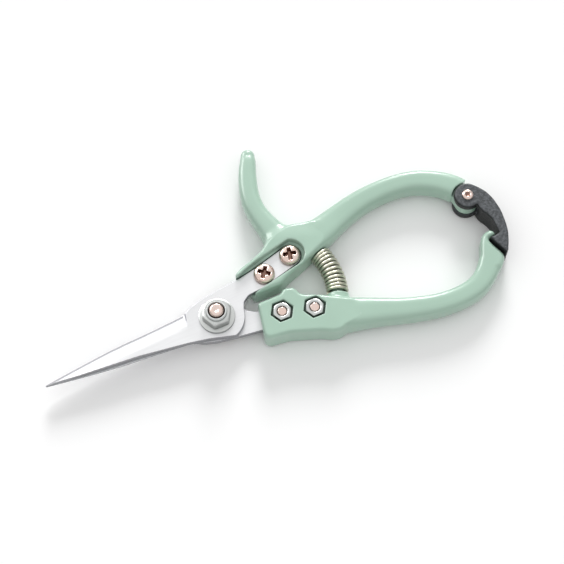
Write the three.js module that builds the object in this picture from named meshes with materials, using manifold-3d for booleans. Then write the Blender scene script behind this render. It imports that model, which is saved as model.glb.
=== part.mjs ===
// Pruning shears with straight pointed blades, bolted handles, a coil spring and a rear catch.
// Millimetres, lying flat on the table plane z = 0. The origin is on the pivot axis,
// +X runs from the blade tips to the handle ends and +Y to the handle with the thumb horn.
import * as THREE from "three";
import { mergeVertices } from "three/addons/utils/BufferGeometryUtils.js";
import Module from "manifold-3d";

const wasm = await Module();
wasm.setup();

// Driving dimensions: castings
const castingThick = 12;      // handle casting at the blade seats
const barThick = 9.4;         // round grip bars
const bossRound = 1.2;        // rounding of the seat blocks' edges
const hornThick = 8.6;        // thumb horn at its root
const webThick = 2.3;         // floor between a blade's tang and its nuts

// Driving dimensions: blades
const bladeReach = 75;        // pivot axis to tip
const bladeThick = 2.4;
const bladePlay = 0.2;        // running gap between the two blades
const heelRadius = 11.5;      // round heel of a blade about the pivot
const tangHalfWidth = 4.6;    // half the tang's width along its screws
const grindWidth = 5.2;       // ground face behind a cutting edge
const edgeThick = 0.5;        // flat left at a cutting edge

// Driving dimensions: pivot and screws
const pivotRadius = 3;        // M6 pivot bolt
const pivotHead = { radius: 6.4, thick: 3.2 };
const washer = { radius: 7.5, thick: 1.0 };
const pivotNut = { flats: 11, thick: 4.6 };
const collar = { radius: 4.2, thick: 1.3 };
const pivotStandOut = 0.7;    // bolt end beyond the collar
const screwRadius = 2;        // M4 blade screws
const screwHead = { radius: 4.4, thick: 2.5 };
const screwNut = { flats: 7, thick: 3 };
const screwPlaces = [[25, 9.4], [38, 13]];

// Driving dimensions: spring
const spring = { outer: 9.2, wire: 1.25, turns: 9, bowRadius: 29.2, bowMiddleX: 51.6, halfAngle: 18 };
const seatRadius = 4.7;
const pegRadius = 2.5;
const pegLength = 3.6;

// Driving dimensions: catch at the handle ends
const hinge = [117.2, 7.7];   // catch rivet axis
const catchWidth = 12;        // along the rivet
const eyeRadius = 5.6;        // catch ears round the rivet
const tongueThick = 5;        // handle tongue between the ears
const tongueRadius = 5;
const rivetRadius = 1.6;
const rivetHead = { radius: 2.4, thick: 0.9 };
const rivetTail = { radius: 2.1, thick: 0.5 };
const rivetWasher = { radius: 2.8, thick: 0.6 };
const hookReach = 21;         // rivet axis to the hook's bearing face
const swingRoom = 0.8;        // room round the ears for the catch to swing

// Clearances
const seatGap = 0.3;          // between seated pieces
const touchGap = 0.1;         // under a head, washer or nut that is clamped down
const runGap = 0.05;          // radial, a shaft that turns in its hole
const holeGap = 0.15;         // radial, a screw in its hole
const hexGap = 0.55;          // beside a nut's flats in its pocket

// Heights that follow from them
const middle = castingThick / 2;
const frontBladeLow = middle + bladePlay / 2;
const frontBladeTop = frontBladeLow + bladeThick;
const rearBladeTop = middle - bladePlay / 2;
const rearBladeLow = rearBladeTop - bladeThick;
const webTop = frontBladeLow - seatGap;
const webLow = webTop - webThick;
const barLow = middle - barThick / 2;
const barTop = middle + barThick / 2;

const round = 40;             // sides of a full-size round piece
const cosFlat = Math.cos(Math.PI / round);

// ---- solids ------------------------------------------------------------------------------

function solid(geometry) {
  geometry.deleteAttribute("normal");
  geometry.deleteAttribute("uv");
  const merged = mergeVertices(geometry, 1e-4);
  return new wasm.Manifold(new wasm.Mesh({
    numProp: 3,
    vertProperties: Float32Array.from(merged.attributes.position.array),
    triVerts: Uint32Array.from(merged.index.array),
  }));
}

// A flat outline raised from low to high, its edges rounded if a radius is given.
function prism(outline, low, high, edge = 0) {
  const geometry = new THREE.ExtrudeGeometry(outline, {
    depth: high - low - 2 * edge,
    bevelEnabled: edge > 0,
    bevelThickness: edge,
    bevelSize: edge,
    bevelOffset: -edge,
    bevelSegments: 3,
    curveSegments: 8,
  });
  return solid(geometry.translate(0, 0, low + edge));
}

function disc(x, y, radius, low, high, sides = round) {
  const geometry = new THREE.CylinderGeometry(radius, radius, high - low, sides);
  return solid(geometry.rotateX(Math.PI / 2).translate(x, y, (low + high) / 2));
}

// A hexagonal prism with corners towards -X and +X.
function hexagon(x, y, flats, low, high) {
  const geometry = new THREE.CylinderGeometry(flats / Math.sqrt(3), flats / Math.sqrt(3), high - low, 6);
  return solid(geometry.rotateX(Math.PI / 2).rotateZ(Math.PI / 2).translate(x, y, (low + high) / 2));
}

// A hole whose flats clear a shaft of the given radius by the given gap.
function hole(x, y, radius, gap, low, high) {
  return disc(x, y, (radius + gap) / cosFlat, low, high);
}

// A closed outline through corner points.
function polygon(points) {
  return new THREE.Shape(points.map(([x, y]) => new THREE.Vector2(x, y)));
}

// A bar with a rounded section along a smooth centre line in the plane z = middle:
// stations are [x, y, width, thickness].
function bar(stations, steps, sides = 18, squareness = 2.5) {
  const line = new THREE.CatmullRomCurve3(stations.map(([x, y]) => new THREE.Vector3(x, y, 0)));
  const sizes = new THREE.CatmullRomCurve3(stations.map(([, , w, h]) => new THREE.Vector3(w, h, 0)));
  const geometry = new THREE.CylinderGeometry(1, 1, 1, sides, steps);
  const place = geometry.attributes.position;
  const flatten = (v) => Math.sign(v) * Math.abs(v) ** (2 / squareness);
  for (let i = 0; i < place.count; i++) {
    const t = place.getY(i) + 0.5;
    const [at, along, size] = [line.getPoint(t), line.getTangent(t), sizes.getPoint(t)];
    const across = flatten(place.getX(i)) * size.x / 2;
    const up = flatten(place.getZ(i)) * size.y / 2;
    place.setXYZ(i, at.x + along.y * across, at.y - along.x * across, middle + up);
  }
  return solid(geometry);
}

function arcPoints(cx, cy, radius, from, to, steps) {
  const points = [];
  for (let i = 0; i <= steps; i++) {
    const a = THREE.MathUtils.degToRad(from + (to - from) * i / steps);
    points.push([cx + radius * Math.cos(a), cy + radius * Math.sin(a)]);
  }
  return points;
}

// A rod along a line that starts at a point and runs in a direction in the XY plane.
function rod(start, direction, radius, length) {
  const geometry = new THREE.CylinderGeometry(radius, radius, length, 24);
  geometry.translate(0, length / 2, 0).rotateZ(Math.atan2(direction[1], direction[0]) - Math.PI / 2);
  return solid(geometry.translate(start[0], start[1], middle));
}

// Turned over about the X axis through the blades' meeting plane.
function turnedOver(piece) {
  return piece.rotate([180, 0, 0]).translate([0, 0, castingThick]);
}

// ---- materials ---------------------------------------------------------------------------

const paint = () => new THREE.MeshStandardMaterial({ color: 0x9fc9b5, roughness: 0.42, metalness: 0 });
const bladeSteel = () => new THREE.MeshStandardMaterial({ color: 0xd8dadb, roughness: 0.3, metalness: 1 });
const zinc = () => new THREE.MeshStandardMaterial({ color: 0xcfc4bd, roughness: 0.3, metalness: 1 });
const springZinc = () => new THREE.MeshStandardMaterial({ color: 0xb9b79a, roughness: 0.35, metalness: 1 });
const darkPlastic = () => new THREE.MeshStandardMaterial({ color: 0x4a4f52, roughness: 0.6, metalness: 0 });
const nylon = () => new THREE.MeshStandardMaterial({ color: 0xd9dedb, roughness: 0.5, metalness: 0 });

const shears = new THREE.Group();

function add(name, piece, material) {
  const { numProp, vertProperties, triVerts } = piece.getMesh();
  const vertices = new Float32Array(vertProperties.length / numProp * 3);
  for (let i = 0; i < vertices.length / 3; i++) {
    vertices.set(vertProperties.subarray(i * numProp, i * numProp + 3), i * 3);
  }
  const geometry = new THREE.BufferGeometry();
  geometry.setAttribute("position", new THREE.BufferAttribute(vertices, 3));
  geometry.setIndex(new THREE.BufferAttribute(triVerts, 1));
  geometry.computeVertexNormals();
  const mesh = new THREE.Mesh(geometry, material);
  mesh.name = name;
  shears.add(mesh);
}

// ---- blades ------------------------------------------------------------------------------

// The tang's far end lies round the second screw; its sides run parallel to the screw line.
const screwLine = Math.atan2(
  screwPlaces[1][1] - screwPlaces[0][1],
  screwPlaces[1][0] - screwPlaces[0][0],
);

// A point beside screw i of the tang, by its distance along and across the screw line.
function besideScrew(i, along, across) {
  const [c, s] = [Math.cos(screwLine), Math.sin(screwLine)];
  return [screwPlaces[i][0] + along * c - across * s, screwPlaces[i][1] + along * s + across * c];
}

function tangEnd(radius, steps) {
  const turn = THREE.MathUtils.radToDeg(screwLine);
  return arcPoints(...screwPlaces[1], radius, turn - 90, turn + 90, steps);
}

function bladeOutline() {
  const cuttingEdge = [[-11, 6.4], [-27, 5.1], [-43, 4.1], [-58.5, 2.4]];
  const spine = [[-71, -0.6], [-61, -1.7], [-47, -2.8], [-35.5, -3.6], [-15.5, -6.2], [-6.6, -7.8]];
  const stretch = ([x, y]) => [x < -11 ? -11 + (x + 11) * (bladeReach - 11) / 64 : x, y];
  return polygon([
    [-bladeReach, 0.25],
    [-bladeReach + 0.3, -0.15],
    ...spine.map(stretch),
    ...arcPoints(0, 0, heelRadius, -69, -8, 7),
    [heelRadius + 1.1, 1.5],
    [heelRadius + 4, 3.5],
    besideScrew(0, -3.5, -tangHalfWidth + 0.2),
    ...tangEnd(tangHalfWidth, 12),
    besideScrew(0, -1, tangHalfWidth),
    [15.2, 12],
    [6.8, 11],
    [-3.7, 9.4],
    [-9.2, 7.7],
    ...cuttingEdge.map(stretch),
  ]);
}

// The wedge that grinding takes off the outer face along the cutting edge.
function grinding() {
  const start = new THREE.Vector2(-11.5, 6.4);
  const end = new THREE.Vector2(-bladeReach - 0.5, 0.2);
  const length = start.distanceTo(end);
  const wedge = polygon([
    [-3, -bladeThick + edgeThick],
    [0, -bladeThick + edgeThick],
    [grindWidth, 0],
    [grindWidth, 1],
    [-3, 1],
  ]);
  const geometry = new THREE.ExtrudeGeometry(wedge, { depth: length, bevelEnabled: false });
  // section x runs from the edge into the blade, section y runs up, the sweep runs to the tip
  const along = new THREE.Vector3(end.x - start.x, end.y - start.y, 0).normalize();
  const up = new THREE.Vector3(0, 0, 1);
  const inward = new THREE.Vector3().crossVectors(up, along);
  geometry.applyMatrix4(new THREE.Matrix4().makeBasis(inward, up, along));
  geometry.translate(start.x, start.y, frontBladeTop);
  return solid(geometry);
}

function blade() {
  let piece = prism(bladeOutline(), frontBladeLow, frontBladeTop);
  piece = piece.subtract(grinding());
  piece = piece.subtract(hole(0, 0, pivotRadius, runGap, 0, castingThick));
  for (const [x, y] of screwPlaces) {
    piece = piece.subtract(hole(x, y, screwRadius, holeGap, 0, castingThick));
  }
  return piece;
}

add("front_blade", blade(), bladeSteel());
add("rear_blade", turnedOver(blade()), bladeSteel());

// ---- pivot -------------------------------------------------------------------------------

const washerLow = frontBladeTop + touchGap;
const nutLow = washerLow + washer.thick + touchGap;
const collarLow = nutLow + pivotNut.thick;
const pivotTop = collarLow + collar.thick + pivotStandOut;
const headTop = rearBladeLow - seatGap;

function pivotBolt() {
  const head = disc(0, 0, pivotHead.radius, headTop - pivotHead.thick, headTop);
  const shaft = disc(0, 0, pivotRadius, headTop - 1, pivotTop - 0.5);
  const end = solid(new THREE.CylinderGeometry(pivotRadius - 0.5, pivotRadius, 0.5, round)
    .rotateX(Math.PI / 2).translate(0, 0, pivotTop - 0.25));
  return head.add(shaft).add(end);
}

// A ring by turning a rectangle about the pivot axis.
function ring(inner, outer, low, high) {
  const profile = [[inner, low], [outer, low], [outer, high], [inner, high], [inner, low]];
  const geometry = new THREE.LatheGeometry(profile.map(([r, z]) => new THREE.Vector2(r, z)), round);
  return solid(geometry.rotateX(Math.PI / 2));
}

// A nut with its upper corners chamfered at 30 degrees down to a circle as wide as its flats.
function crownedNut(x, y, flats, boreRadius, low, high) {
  const slope = Math.sqrt(3);
  const height = high - low + 1 + flats / 2 / slope;
  const cone = solid(new THREE.ConeGeometry(height * slope, height, round)
    .rotateX(Math.PI / 2).translate(x, y, low - 1 + height / 2));
  const crowned = hexagon(x, y, flats, low, high).intersect(cone);
  return crowned.subtract(hole(x, y, boreRadius, holeGap, low - 1, high + 1));
}

add("pivot_bolt", pivotBolt(), zinc());
const washerBore = (pivotRadius + seatGap) / cosFlat;
const collarBore = (pivotRadius + holeGap) / cosFlat;
add("pivot_washer", ring(washerBore, washer.radius, washerLow, washerLow + washer.thick), zinc());
add("pivot_nut", crownedNut(0, 0, pivotNut.flats, pivotRadius, nutLow, collarLow - touchGap), zinc());
add("pivot_nut_collar", ring(collarBore, collar.radius, collarLow, collarLow + collar.thick), nylon());

// ---- blade screws and nuts ---------------------------------------------------------------

function crossRecess(x, y, top) {
  const arm = 2.3;
  const width = 0.9;
  const deep = 1.3;
  const bar = (w, h) => solid(new THREE.BoxGeometry(w, h, deep).translate(x, y, top - deep / 2 + 0.2));
  return bar(2 * arm, width).add(bar(width, 2 * arm));
}

function panScrew(x, y) {
  const low = frontBladeTop + seatGap;
  const { radius, thick } = screwHead;
  const profile = [[0, 0], [radius, 0], [radius, thick * 0.45], [radius * 0.86, thick * 0.8],
    [radius * 0.55, thick * 0.97], [0, thick]];
  const head = solid(new THREE.LatheGeometry(profile.map(([r, z]) => new THREE.Vector2(r, z)), round)
    .rotateX(Math.PI / 2).translate(x, y, low));
  const shank = disc(x, y, screwRadius, nutTop - screwNut.thick + 0.2, low + 0.5);
  return head.add(shank).subtract(crossRecess(x, y, low + thick));
}

const nutTop = webLow - seatGap;

function screwNutAt(x, y) {
  const nut = crownedNut(x, y, screwNut.flats, screwRadius, -nutTop, -nutTop + screwNut.thick);
  return nut.rotate([180, 0, 0]).translate([0, 2 * y, 0]);
}

screwPlaces.forEach(([x, y], i) => {
  add(`upper_blade_screw_${i + 1}`, panScrew(x, y), zinc());
  add(`upper_blade_nut_${i + 1}`, screwNutAt(x, y), zinc());
  add(`lower_blade_screw_${i + 1}`, turnedOver(panScrew(x, y)), zinc());
  add(`lower_blade_nut_${i + 1}`, turnedOver(screwNutAt(x, y)), zinc());
});

// ---- spring ------------------------------------------------------------------------------

const bowCentre = spring.bowMiddleX - spring.bowRadius;

// A point on the spring's bowed axis and the direction away from its middle, by angle in degrees.
function springAxis(degrees) {
  const a = THREE.MathUtils.degToRad(degrees);
  const point = [bowCentre + spring.bowRadius * Math.cos(a), spring.bowRadius * Math.sin(a)];
  return { point, outward: [Math.cos(a), Math.sin(a)], along: [-Math.sin(a), Math.cos(a)] };
}

class BowedCoil extends THREE.Curve {
  getPoint(t, target = new THREE.Vector3()) {
    const { point, outward } = springAxis(spring.halfAngle * (2 * t - 1));
    const turn = 2 * Math.PI * spring.turns * t;
    const radius = (spring.outer - spring.wire) / 2;
    const side = radius * Math.cos(turn);
    const [x, y] = point.map((v, i) => v + outward[i] * side);
    return target.set(x, y, middle + radius * Math.sin(turn));
  }
}

function springCoil() {
  const section = new THREE.Shape().absarc(0, 0, spring.wire / 2, 0, 2 * Math.PI);
  return solid(new THREE.ExtrudeGeometry(section, {
    steps: spring.turns * 14,
    curveSegments: 3,
    bevelEnabled: false,
    extrudePath: new BowedCoil(),
  }));
}

add("return_spring", springCoil(), springZinc());

// The seat under a spring end and the peg inside its coils.
const seatAngle = spring.halfAngle + THREE.MathUtils.radToDeg((spring.wire / 2 + seatGap) / spring.bowRadius);

function springSeat(side) {
  const { point, along } = springAxis(side * seatAngle);
  const away = along.map((v) => v * side);
  const back = away.map((v) => -v);
  const pegRoot = point.map((v, i) => v + away[i]);
  return rod(point, away, seatRadius, 5).add(rod(pegRoot, back, pegRadius, pegLength + 1));
}

// ---- handles -----------------------------------------------------------------------------

// Where the catch's hook bears on the lower handle, straight below the catch rivet.
const bearing = [hinge[0], hinge[1] - hookReach];
const byHinge = ([dx, dy]) => [hinge[0] + dx, hinge[1] + dy];
const byBearing = ([dx, dy]) => [bearing[0] + dx, bearing[1] + dy];

// A bar's station whose place goes with the hinge or the bearing.
const station = (place, [dx, dy, ...size]) => [...place([dx, dy]), ...size];

// The tang's seat in a handle, open towards the pivot.
function tangPocket(low, high) {
  const wall = tangHalfWidth + seatGap;
  return prism(polygon([
    besideScrew(0, -20, -wall - 3),
    besideScrew(0, -9, -wall),
    ...tangEnd(wall, 12),
    besideScrew(0, -1, wall),
    [15, 12.4],
    [8, 12],
  ]), low, high);
}

// Wider room above the tang for the screw heads, under a rim with a pointed lip.
function headPocket(low, high) {
  const wall = tangHalfWidth + seatGap;
  return prism(polygon([
    besideScrew(0, -20, -wall - 3),
    besideScrew(0, -9, -wall),
    besideScrew(1, 1, -wall - 1.2),
    ...arcPoints(...screwPlaces[1], screwHead.radius + 1.8, -60, 75, 10),
    besideScrew(0, 0, wall),
    [14.7, 10.6],
    [12.6, 11.4],
    [8, 8],
  ]), low, high);
}

function nutPockets(x, y) {
  const flats = screwNut.flats + 2 * hexGap;
  return hexagon(x, y, flats, -1, webLow).add(hole(x, y, screwRadius, holeGap, -1, castingThick));
}

function upperHandle() {
  const seat = prism(polygon([
    [17.6, 1.7], [29.5, 1.9], [34, 4.2], [40, 6.2], [46, 8.6], [54, 12.2], [57, 18], [54, 23.6],
    [48, 24.3], [43, 25.6], [36, 24.4], [31.2, 21.6], [27.9, 19], [22.2, 16.5], [17, 14.9],
    [13.8, 13.3], [13, 11.5], [15.4, 9.8],
  ]), 0, castingThick, bossRound);
  const arm = bar([
    [46, 16, 15, 11], [54, 18.1, 13, 10.4], [62, 20.8, 11.4, barThick], [71, 23.5, 10.3, barThick],
    [80, 25.1, 9.7, barThick], [91, 25.4, 9.4, barThick], [100.5, 23.8, 9.6, barThick],
    ...[[-8.9, 12.3, 10, barThick], [-3.8, 8.3, 10.6, barThick], [-0.7, 4.7, 10.6, barThick]]
      .map((s) => station(byHinge, s)),
  ], 30);
  const horn = bar([
    [38, 19, 17, 10], [35.9, 26.5, 11, hornThick + 0.8], [33.8, 35, 8.9, hornThick],
    [33.2, 41, 8.5, hornThick - 0.4], [34, 47, 8.2, hornThick - 0.8], [36.3, 54.5, 7.7, hornThick - 1.4],
    [39.2, 61, 6.9, hornThick - 2], [40.6, 64.4, 5.6, hornThick - 3], [41.4, 66.2, 2.4, 2],
  ], 24);
  const hornWeb = prism(polygon([[32, 22], [44, 18], [50, 22.5], [44.5, 26], [40.5, 31], [32.5, 29]]),
    barLow + 0.4, barTop - 0.4, 1.2);
  let body = seat.add(arm).add(horn).add(hornWeb).add(springSeat(1));
  body = body.subtract(tangPocket(webTop, frontBladeTop + seatGap));
  body = body.subtract(headPocket(frontBladeTop + seatGap - 0.01, castingThick + 1));
  for (const [x, y] of screwPlaces) {
    body = body.subtract(nutPockets(x, y));
  }
  return body.subtract(earRoom()).add(tongue()).subtract(rivetHole(holeGap));
}

function lowerHandle() {
  const seat = prism(polygon([
    [14.4, -15.8], [14.7, -17.4], [16.2, -18.5], [24.3, -19.4], [35.9, -23.4], [41.4, -26.2],
    [44.3, -26.5], [47.4, -25.4], [54, -25], [56.5, -21], [55, -15.4], [46, -10.8], [41, -8.1],
    [36.2, -6.1], [34.8, -5], [33.6, -1.6], [29.4, -0.4], [27.4, -2.2], [17.1, -2.3],
  ]), 0, castingThick, bossRound);
  const arm = bar([
    [48, -19.3, 14.5, 11], [55, -21.4, 13, 10.4], [62, -23.7, 11.6, barThick], [70, -26.6, 10.4, barThick],
    [77, -28.7, 9.8, barThick], [85, -30.6, 9.4, barThick], [93, -31.4, 9.2, barThick],
    [100, -30.8, 9.2, barThick],
    ...[[-11.6, -15.7, 9.2, barThick], [-6.6, -12.3, 9.4, barThick], [-3.6, -8.9, 9.6, barThick],
      [-2, -6.1, 9, barThick]].map((s) => station(byBearing, s)),
  ], 30);
  const hook = prism(polygon([
    ...[[-8.2, -9.7], [-5.8, -4.1], [-3.8, 0.1], [-2.2, 2.4], [-0.2, 3.6]].map(byBearing),
    ...[[2.1, 3.8], [3.5, 2.7]].map(byBearing),
    ...arcPoints(...hinge, hookReach - seatGap, -79.6, -89.2, 2),
    ...[[0, -0.7], [1, -3.4], [2.3, -6.5], [2.9, -8.5], [2.2, -10.7]].map(byBearing),
    ...[[-0.6, -13.6], [-5.2, -13.7]].map(byBearing),
  ]), barLow, barTop, 0.9);
  const reliefOfCatch = prism(catchOutline(0.5), -1, castingThick + 1);
  let body = seat.add(arm.subtract(reliefOfCatch)).add(hook).add(springSeat(-1));
  body = body.subtract(turnedOver(tangPocket(webTop, castingThick + 1)));
  for (const [x, y] of screwPlaces) {
    body = body.subtract(turnedOver(nutPockets(x, y)));
  }
  return body;
}

// ---- catch -------------------------------------------------------------------------------

const washerHigh = middle - catchWidth / 2 + 2 * touchGap + rivetTail.thick + rivetWasher.thick;

// The tongue of the upper handle between the catch's ears, and its neck.
function tongue() {
  const low = middle - tongueThick / 2;
  const high = middle + tongueThick / 2;
  const neck = polygon([[-5.6, 4.6], [-4.9, -0.8], [2.8, 1.2], [-2.6, 9.5]].map(byHinge));
  return prism(neck, low, high).add(disc(...hinge, tongueRadius, low, high));
}

// The round room above and below the tongue in which the ears turn.
function earRoom() {
  return disc(...hinge, eyeRadius + swingRoom, -1, castingThick + 1);
}

function rivetHole(gap) {
  return hole(...hinge, rivetRadius, gap, -1, castingThick + 1);
}

// The catch's outline, grown towards the hook by a gap for what must clear it.
function catchOutline(gap = 0) {
  return polygon([
    ...arcPoints(...hinge, eyeRadius, 40, 290, 16),
    ...[[2.2, -8.3], [3.8, -11.1], [4.8 - gap, -13.9]].map(byHinge),
    byBearing([4.8 - gap, 3.8]),
    ...arcPoints(...hinge, hookReach - gap, -77, -88.8, 3),
    ...[[1.5 - gap, -3.3], [2.8 - gap, -6.3], [3.7 - gap, -9]].map(byBearing),
    ...[[4.8, -8.1], [6.7, -4.6], [8.5, -0.5], [9.4, 3.8]].map(byBearing),
    ...[[10, -11.4], [9.4, -5.7], [8.1, -1.5], [5.8, 1.9]].map(byHinge),
  ]);
}

function catchLever() {
  const low = middle - catchWidth / 2;
  const high = middle + catchWidth / 2;
  const slotLow = middle - tongueThick / 2 - seatGap;
  const slotHigh = middle + tongueThick / 2 + seatGap;
  const slotMouth = polygon([
    [-12.2, -9.7], [-3.2, -10.7], [1.4, -8.1], [4.3, -3.7], [6.8, 0.8], [6.8, 12.3], [-12.2, 12.3],
  ].map(byHinge));
  const slot = disc(...hinge, eyeRadius + 0.2, slotLow, slotHigh).add(prism(slotMouth, slotLow, slotHigh));
  const lever = prism(catchOutline(), low, high, 0.5);
  const recess = disc(...hinge, rivetWasher.radius + seatGap, low - 1, washerHigh + touchGap);
  return lever.subtract(slot).subtract(recess).subtract(rivetHole(runGap));
}

function catchRivet() {
  const low = middle - catchWidth / 2;
  const high = middle + catchWidth / 2;
  const { radius, thick } = rivetHead;
  const dome = [[0, 0], [radius, 0], [radius * 0.94, thick * 0.4], [radius * 0.7, thick * 0.8], [0, thick]];
  const head = solid(new THREE.LatheGeometry(dome.map(([r, z]) => new THREE.Vector2(r, z)), 24)
    .rotateX(Math.PI / 2).translate(...hinge, high + touchGap));
  const tail = disc(...hinge, rivetTail.radius, low + touchGap, low + touchGap + rivetTail.thick);
  return disc(...hinge, rivetRadius, low + touchGap, high + seatGap).add(head).add(tail);
}

add("upper_handle", upperHandle(), paint());
add("lower_handle", lowerHandle(), paint());
add("catch_lever", catchLever(), darkPlastic());
add("catch_rivet", catchRivet(), zinc());
add("catch_rivet_washer", ring((rivetRadius + holeGap) / cosFlat, rivetWasher.radius,
  washerHigh - rivetWasher.thick, washerHigh).translate([...hinge, 0]), zinc());

export default shears;
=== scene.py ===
"""Pruning shears with straight pointed blades, painted cast handles, a bowed spring and a rear catch."""

import math

import bpy
import numpy as np
from mathutils import Matrix, Vector


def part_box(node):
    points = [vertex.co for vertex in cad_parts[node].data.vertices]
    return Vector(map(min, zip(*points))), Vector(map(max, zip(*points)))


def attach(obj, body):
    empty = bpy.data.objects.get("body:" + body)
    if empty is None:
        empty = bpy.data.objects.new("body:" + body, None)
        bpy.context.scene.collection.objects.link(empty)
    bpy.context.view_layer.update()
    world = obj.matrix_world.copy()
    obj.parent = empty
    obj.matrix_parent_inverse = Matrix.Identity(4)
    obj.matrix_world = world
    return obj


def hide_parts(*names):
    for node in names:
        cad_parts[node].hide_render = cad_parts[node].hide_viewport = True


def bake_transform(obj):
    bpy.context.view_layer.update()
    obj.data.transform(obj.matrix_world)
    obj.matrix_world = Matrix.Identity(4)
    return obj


bl_info = {
    "name": "Pruning Shears",
    "version": (1, 0, 0),
    "blender": (4, 5, 0),
    "location": "3D View > Sidebar > Shears",
    "description": "Makes the visible pieces of a pair of pruning shears round their frame",
    "category": "Object",
}

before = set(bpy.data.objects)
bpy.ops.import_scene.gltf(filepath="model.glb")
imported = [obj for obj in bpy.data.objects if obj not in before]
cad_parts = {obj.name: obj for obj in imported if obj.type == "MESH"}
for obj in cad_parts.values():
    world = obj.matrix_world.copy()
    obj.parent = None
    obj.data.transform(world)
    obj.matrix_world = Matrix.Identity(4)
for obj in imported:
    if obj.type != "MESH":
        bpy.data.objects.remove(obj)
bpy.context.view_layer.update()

MM = 0.001


def box_mm(node):
    """The lowest and highest corner of a frame node, in millimetres."""
    return [np.array(corner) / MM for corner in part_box(node)]


def centre_mm(node):
    """The middle of a frame node seen from above, in millimetres."""
    low, high = box_mm(node)
    return (low + high)[:2] / 2


# Places that the pieces share, in millimetres, from the frame.
SCREWS = [centre_mm("upper_blade_screw_1"), centre_mm("upper_blade_screw_2")]
HINGE = centre_mm("catch_rivet")
FRONT_LOW, FRONT_HIGH = (corner[2] for corner in box_mm("front_blade"))
REAR_HIGH = box_mm("rear_blade")[1][2]
MIDDLE = (FRONT_LOW + REAR_HIGH) / 2
CASTING = box_mm("upper_handle")[1][2]

# Gaps, thicknesses and holes that more than one piece goes by.
SEAT_GAP = 0.3
WEB_HIGH = FRONT_LOW - SEAT_GAP
WEB_LOW = WEB_HIGH - 2.3
BAR = 9.4
PIVOT_HOLE = 3.05
SCREW_HOLE = 2.15
HOOK_REACH = 21.0
BEARING = np.array([HINGE[0], HINGE[1] - HOOK_REACH])


# ---- settings ----


class ShearsSizes(bpy.types.PropertyGroup):
    """Sizes of the visible detail."""

    casting_grain: bpy.props.FloatProperty(
        name="Casting Grain", description="Spacing of the points on the cast handles",
        default=0.3 * MM, min=0.15 * MM, max=1.0 * MM, precision=5, unit="LENGTH")
    catch_grain: bpy.props.FloatProperty(
        name="Catch Grain", description="Spacing of the points on the moulded catch",
        default=0.19 * MM, min=0.1 * MM, max=0.6 * MM, precision=5, unit="LENGTH")
    blade_grain: bpy.props.FloatProperty(
        name="Blade Grain", description="Spacing of the points on the blades",
        default=0.2 * MM, min=0.1 * MM, max=0.6 * MM, precision=5, unit="LENGTH")
    screw_grain: bpy.props.FloatProperty(
        name="Screw Grain", description="Spacing of the points on the screws",
        default=0.11 * MM, min=0.06 * MM, max=0.4 * MM, precision=5, unit="LENGTH")
    casting_edge: bpy.props.FloatProperty(
        name="Casting Edge", description="Rounding of the handles' outer edges",
        default=1.5 * MM, min=0.3 * MM, max=2.0 * MM, precision=5, unit="LENGTH")
    junction: bpy.props.FloatProperty(
        name="Junction", description="Reach of the fillets where bars grow out of the seats",
        default=4.0 * MM, min=0.5 * MM, max=8.0 * MM, precision=4, unit="LENGTH")
    honed_width: bpy.props.FloatProperty(
        name="Honed Width", description="Width of the honed strip along a cutting edge",
        default=1.3 * MM, min=0.4 * MM, max=3.0 * MM, precision=5, unit="LENGTH")
    grind_width: bpy.props.FloatProperty(
        name="Grind Width", description="Width of the ground face behind a cutting edge",
        default=5.6 * MM, min=2.0 * MM, max=8.0 * MM, precision=5, unit="LENGTH")
    wire: bpy.props.FloatProperty(
        name="Wire", description="Diameter of the spring wire",
        default=1.47 * MM, min=0.5 * MM, max=1.6 * MM, precision=5, unit="LENGTH")
    coils: bpy.props.FloatProperty(
        name="Coils", description="Number of turns of the spring", default=11.0, min=6.0, max=12.0)


class ShearsFinishes(bpy.types.PropertyGroup):
    """Colours of the finishes."""

    paint: bpy.props.FloatVectorProperty(
        name="Handle Paint", description="Sage green coating of the handles",
        default=(0.375, 0.545, 0.44), min=0.0, max=1.0, subtype="COLOR")
    steel: bpy.props.FloatVectorProperty(
        name="Blade Steel", description="Satin steel of the blades",
        default=(0.86, 0.865, 0.875), min=0.0, max=1.0, subtype="COLOR")
    screw_plate: bpy.props.FloatVectorProperty(
        name="Screw Plating", description="Warm plating of the blade screws and the rivet",
        default=(0.84, 0.65, 0.57), min=0.0, max=1.0, subtype="COLOR")
    nut_plate: bpy.props.FloatVectorProperty(
        name="Nut Plating", description="Neutral zinc plating of the nuts and washers",
        default=(0.66, 0.68, 0.665), min=0.0, max=1.0, subtype="COLOR")
    spring_plate: bpy.props.FloatVectorProperty(
        name="Spring Plating", description="Yellow passivated zinc of the spring",
        default=(0.68, 0.68, 0.55), min=0.0, max=1.0, subtype="COLOR")
    plastic: bpy.props.FloatVectorProperty(
        name="Catch Plastic", description="Charcoal plastic of the catch",
        default=(0.022, 0.024, 0.026), min=0.0, max=1.0, subtype="COLOR")
    nylon: bpy.props.FloatVectorProperty(
        name="Collar Nylon", description="Natural nylon of the pivot nut's collar",
        default=(0.70, 0.73, 0.72), min=0.0, max=1.0, subtype="COLOR")
    floor: bpy.props.FloatVectorProperty(
        name="Floor", description="Pale floor under the shears",
        default=(0.96, 0.96, 0.96), min=0.0, max=1.0, subtype="COLOR")


# ---- shapes by distance ----


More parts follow.
